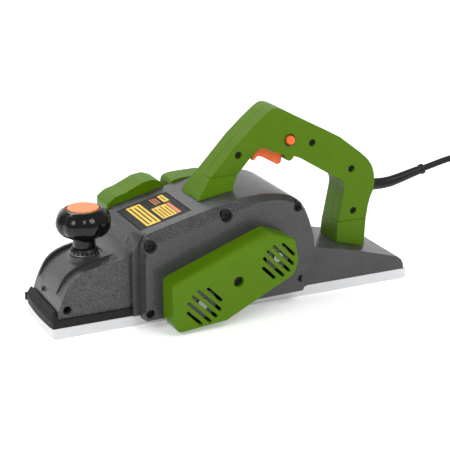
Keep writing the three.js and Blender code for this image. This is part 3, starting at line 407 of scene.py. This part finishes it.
def knob():
    prof = catmull1([(11.5, 77.4), (11.45, 81), (11.5, 85.6), (12.6, 87.5), (17, 88.7), (22.4, 91.3), (26.3, 95.6), (28.4, 102),
                     (27.6, 108.2), (24.6, 113.2), (20.8, 116.3), (18.2, 117.6), (17.0, 117.5), (16.5, 116.4)], 4)
    n = 144
    bm = bmesh.new()
    rings = []
    for r, z in prof:
        row = []
        for k in range(n):
            a = 2 * math.pi * k / n
            w = max(0, min(1, (r - 14) / 13))
            w = w * w * (3 - 2 * w) if z < 116.5 else 0
            rr = r - w * 1.5 * (0.5 - 0.5 * math.cos(8 * a)) ** 2
            row.append(bm.verts.new(P(50 + rr * math.cos(a), rr * math.sin(a), z)))
        rings.append(row)
    for a, b in zip(rings, rings[1:]):
        for k in range(n):
            bm.faces.new((a[k], a[(k + 1) % n], b[(k + 1) % n], b[k]))
    for row, z, flip in ((rings[0], 77.4, True), (rings[-1], 115.1, False)):
        inner = [bm.verts.new(P(50 + 6 * math.cos(2 * math.pi * k / n), 6 * math.sin(2 * math.pi * k / n), z)) for k in range(n)]
        for k in range(n):
            f = (row[k], row[(k + 1) % n], inner[(k + 1) % n], inner[k])
            bm.faces.new(f[::-1] if flip else f)
    for f in bm.faces:
        f.smooth = True
    me = bpy.data.meshes.new("knob_ball")
    bm.to_mesh(me)
    bm.free()
    me.materials.append(M["gloss_black"])
    o = link("knob_ball", me)
    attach(o, "knob")
    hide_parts("depth_knob")


knob()


def boxes(name, items, mat, body, frame_fn, bevel=0.05):
    bm = bmesh.new()
    for u0, u1, v0, v1, w0, w1 in items:
        c = [bm.verts.new(frame_fn(u, v, w)) for w in (w0, w1) for u, v in ((u0, v0), (u1, v0), (u1, v1), (u0, v1))]
        for f in ((3, 2, 1, 0), (4, 5, 6, 7), (0, 1, 5, 4), (1, 2, 6, 5), (2, 3, 7, 6), (3, 0, 4, 7)):
            bm.faces.new([c[i] for i in f])
    bmesh.ops.recalc_face_normals(bm, faces=bm.faces)
    me = bpy.data.meshes.new(name)
    bm.to_mesh(me)
    bm.free()
    me.materials.append(M[mat])
    o = link(name, me)
    bv = o.modifiers.new("bevel", "BEVEL")
    bv.width, bv.segments = bevel / 1000, 2
    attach(o, body)
    return o


# printed blocks of the rating plate: plain colour fields, no lettering
def on_plate(u, v, w):
    return P(u - 0.237 * w, v, 98.3 + (13 / 53.3) * (u - 97.7) - 0.1 + 0.971 * w)


boxes("plate_yellow", [(105.5, 120.5, -32, 27, 0, 0.06), (124, 139.6, -29.5, 3.4, 0, 0.06), (140.4, 146.4, 8, 28, 0, 0.06)],
      "yellow", "housing", on_plate, 0.02)
boxes("plate_dark_bars", [(108 + 4.3 * i, 109.5 + 4.3 * i, -29 + 3 * (i % 2), 24 - 3 * (i % 2), 0.06, 0.1) for i in range(3)]
      + [(126 + 3.4 * i, 127.1 + 3.4 * i, -27, 1 - 4 * (i % 2), 0.06, 0.1) for i in range(4)]
      + [(142.8, 143.9, 11, 25, 0.06, 0.1)], "label", "housing", on_plate, 0.01)
boxes("plate_amber", [(131.2 + 2.5 * i, 132.4 + 2.5 * i, 8 + i, 28 - i, 0, 0.06) for i in range(3)] + [(140.4, 144, -29.5, 3.4, 0, 0.06)],
      "amber", "housing", on_plate, 0.02)


# ring of tick marks round the depth scale
def ticks():
    items = []
    bm = bmesh.new()
    for k in range(20):
        a = 2 * math.pi * k / 20
        ca, sa = math.cos(a), math.sin(a)
        h = 1.7 if k % 5 == 0 else 1.1
        c = []
        for r in (14.45, 14.62):
            for t, z in ((-0.22, 72.5), (0.22, 72.5), (0.22, 72.5 + h), (-0.22, 72.5 + h)):
                c.append(bm.verts.new(P(50 + r * ca - t * sa, r * sa + t * ca, z)))
        for f in ((3, 2, 1, 0), (4, 5, 6, 7), (0, 1, 5, 4), (1, 2, 6, 5), (2, 3, 7, 6), (3, 0, 4, 7)):
            bm.faces.new([c[i] for i in f])
    bmesh.ops.recalc_face_normals(bm, faces=bm.faces)
    me = bpy.data.meshes.new("scale_ticks")
    bm.to_mesh(me)
    bm.free()
    me.materials.append(M["alloy"])
    o = link("scale_ticks", me)
    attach(o, "knob")


ticks()


# tie round the coil
def lock_recess_shade_ring():
    # black ring, slightly raised, around the lock button's hole: a painted shadow standing in for the shaded recess
    # round the button
    bm = bmesh.new()
    prof = [(5.35, -16.9), (5.35, -17.14), (5.7, -17.24), (6.15, -17.2), (6.5, -16.9)]
    n = 48
    rows = [[bm.verts.new(P(272 + r * math.cos(2 * math.pi * i / n), y, 165.7 + r * math.sin(2 * math.pi * i / n))) for i in range(n)]
            for r, y in prof]
    for a, b in zip(rows, rows[1:] + rows[:1]):
        for i in range(n):
            j = (i + 1) % n
            bm.faces.new((a[i], a[j], b[j], b[i]))
    bmesh.ops.recalc_face_normals(bm, faces=bm.faces)
    me = bpy.data.meshes.new("lock_recess_shade_ring")
    bm.to_mesh(me)
    bm.free()
    me.materials.append(M["black"])
    o = link("lock_recess_shade_ring", me)
    settle(o)
    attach(o, "housing")
    return o


lock_recess_shade_ring()


def tie():
    sec = [(r, z) for r, z in ((31.9, 1.2), (31.9, 26.8), (33.4, 29), (47.6, 29), (49.7, 26.8), (49.7, 1.2), (47.8, 0.05), (33.2, 0.05))]
    cu = bpy.data.curves.new("lead_tie", "CURVE")
    cu.dimensions, cu.bevel_depth, cu.bevel_resolution = "3D", 0.0011, 3
    sp = cu.splines.new("POLY")
    pp = []
    a = math.radians(-100)
    for i, (r, z) in enumerate(sec):
        pp.append(P(CX + r * math.sin(a), CY + r * math.cos(a), max(z, 1.2)))
    sp.points.add(len(pp) - 1)
    for q, p in zip(sp.points, pp):
        q.co = (*p, 1)
    sp.use_cyclic_u = True
    cu.materials.append(M["black"])
    o = link("lead_tie", cu)
    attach(o, "housing")
    return o


lead_tie = tie()

# ------------------------------------------------------------ floor and light
bm = bmesh.new()
for f in [[(-3, -3, 0), (3, -3, 0), (3, 3.2, 0), (-3, 3.2, 0)], [(-3, 3.2, 0), (3, 3.2, 0), (3, 3.2, 3), (-3, 3.2, 3)]]:
    bm.faces.new([bm.verts.new(Vector(v) + Vector((0, 0, -0.0002))) for v in f])
me = bpy.data.meshes.new("floor")
bm.to_mesh(me)
bm.free()
fm = bpy.data.materials.new("floor")
fm.use_nodes = True
fm.node_tree.nodes["Principled BSDF"].inputs["Base Color"].default_value = (0.93, 0.93, 0.93, 1)
fm.node_tree.nodes["Principled BSDF"].inputs["Roughness"].default_value = 0.6
fm.node_tree.nodes["Principled BSDF"].inputs["Specular IOR Level"].default_value = 0.2
fm.node_tree.nodes["Principled BSDF"].inputs["Emission Color"].default_value = (1, 1, 1, 1)
fm.node_tree.nodes["Principled BSDF"].inputs["Emission Strength"].default_value = 0.32
me.materials.append(fm)
floor = link("floor", me)

w = bpy.data.worlds.new("studio")
scene.world = w
w.use_nodes = True
w.node_tree.nodes["Background"].inputs["Color"].default_value = (1, 1, 1, 1)
w.node_tree.nodes["Background"].inputs["Strength"].default_value = 0.42


def area(name, loc, aim, size, power):
    ld = bpy.data.lights.new(name, "AREA")
    ld.shape, ld.size, ld.size_y, ld.energy = "RECTANGLE", size[0], size[1], power
    o = link(name, ld)
    o.location = loc
    o.rotation_euler = (Vector(aim) - Vector(loc)).to_track_quat("-Z", "Y").to_euler()


area("key", (0.45, -1.1, 1.35), (0, 0, 0.05), (0.8, 0.8), 12)
area("left", (-1.3, -0.7, 1.1), (-0.05, 0, 0.08), (0.7, 0.7), 10)
area("back", (-0.2, 1.1, 1.5), (0, 0, 0.08), (1.4, 0.6), 17)
scene.view_settings.view_transform = "Standard"
scene.view_settings.look = "None"
